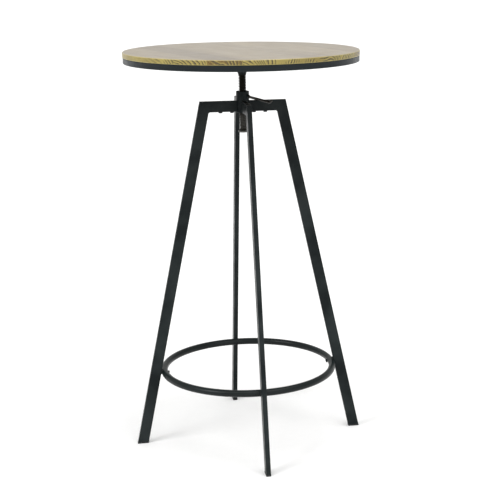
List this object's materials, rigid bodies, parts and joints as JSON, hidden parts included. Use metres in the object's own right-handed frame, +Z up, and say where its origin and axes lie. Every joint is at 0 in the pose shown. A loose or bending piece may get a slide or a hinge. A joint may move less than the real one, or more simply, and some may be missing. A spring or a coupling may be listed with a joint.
{
  "type": "bar table",
  "caption": "Tall round bar table: board top on a steel rim that turns up and down on a threaded spindle, four splayed tube legs and a foot ring.",
  "frame": {"origin": "floor centre under the spindle", "axes": "+Z up along the spindle; +X towards the right leg, -Y towards the front leg"},
  "size_m": [0.6074, 0.6074, 1.035],
  "materials": {
    "board_wood": "sanded, limed face with golden end grain at the edge, matt",
    "powder_coat": "black powder coat, fine texture, soft sheen",
    "spindle_steel": "blackened thread, oiled",
    "stop_steel": "dark zinc",
    "bolt_steel": "black oxide",
    "screw_steel": "dark zinc",
    "inner_steel": "bare machined",
    "lock_steel": "black with worn bright tip",
    "pad_brass": "turned",
    "cap_plastic": "moulded black",
    "saddle_plastic": "moulded black"
  },
  "bodies": {
    "frame": {"arm_back": "powder_coat", "arm_bolts": "bolt_steel", "arm_front": "powder_coat", "arm_left": "powder_coat", "arm_right": "powder_coat", "foot_cap_back": "cap_plastic", "foot_cap_front": "cap_plastic", "foot_cap_left": "cap_plastic", "foot_cap_right": "cap_plastic", "foot_ring": "powder_coat", "hub_tube": "powder_coat", "leg_back": "powder_coat", "leg_front": "powder_coat", "leg_left": "powder_coat", "leg_right": "powder_coat", "lock_boss": "powder_coat", "ring_bolts": "bolt_steel", "ring_inserts": "inner_steel", "ring_saddles": "saddle_plastic", "spindle_bush": "inner_steel", "stub_back": "inner_steel", "stub_front": "inner_steel", "stub_left": "inner_steel", "stub_right": "inner_steel"},
    "stop": {"stop_washer": "stop_steel"},
    "top": {"board_1": "board_wood", "board_2": "board_wood", "board_3": "board_wood", "board_4": "board_wood", "board_5": "board_wood", "board_6": "board_wood", "board_7": "board_wood", "board_8": "board_wood", "board_screws": "screw_steel", "rim_ring": "powder_coat", "cross_bar_long": "powder_coat", "cross_bar_front": "powder_coat", "cross_bar_back": "powder_coat", "spindle_plate": "powder_coat", "spindle_collar": "powder_coat", "spindle": "spindle_steel", "stop_screw": "stop_steel"},
    "pad": {"lock_pad": "pad_brass"},
    "lock": {"lock_screw": "lock_steel"}
  },
  "joints": [
    {"name": "top_lift", "type": "slide", "parent": "frame", "child": "stop", "axis": [0, 0, 1], "range_m": [-0.0421, 0.0477]},
    {"name": "top_turn", "type": "hinge", "parent": "stop", "child": "top", "pos_m": [0, 0, 0.9], "axis": [0, 0, 1], "range_deg": [-3780, 4284]},
    {"name": "lock_feed", "type": "slide", "parent": "frame", "child": "pad", "axis": [0.6984, -0.6984, -0.1564], "range_m": [0, 0.00249]},
    {"name": "lock_turn", "type": "hinge", "parent": "pad", "child": "lock", "pos_m": [0.01192, -0.01192, 0.918], "axis": [0.6984, -0.6984, -0.1564], "range_deg": [0, 720]}
  ],
  "couplings": [
    {"joint": "top_lift", "follows": "top_turn", "m_per_rad": 0.00063662},
    {"joint": "lock_turn", "follows": "lock_feed", "rad_per_m": 5026.5}
  ]
}
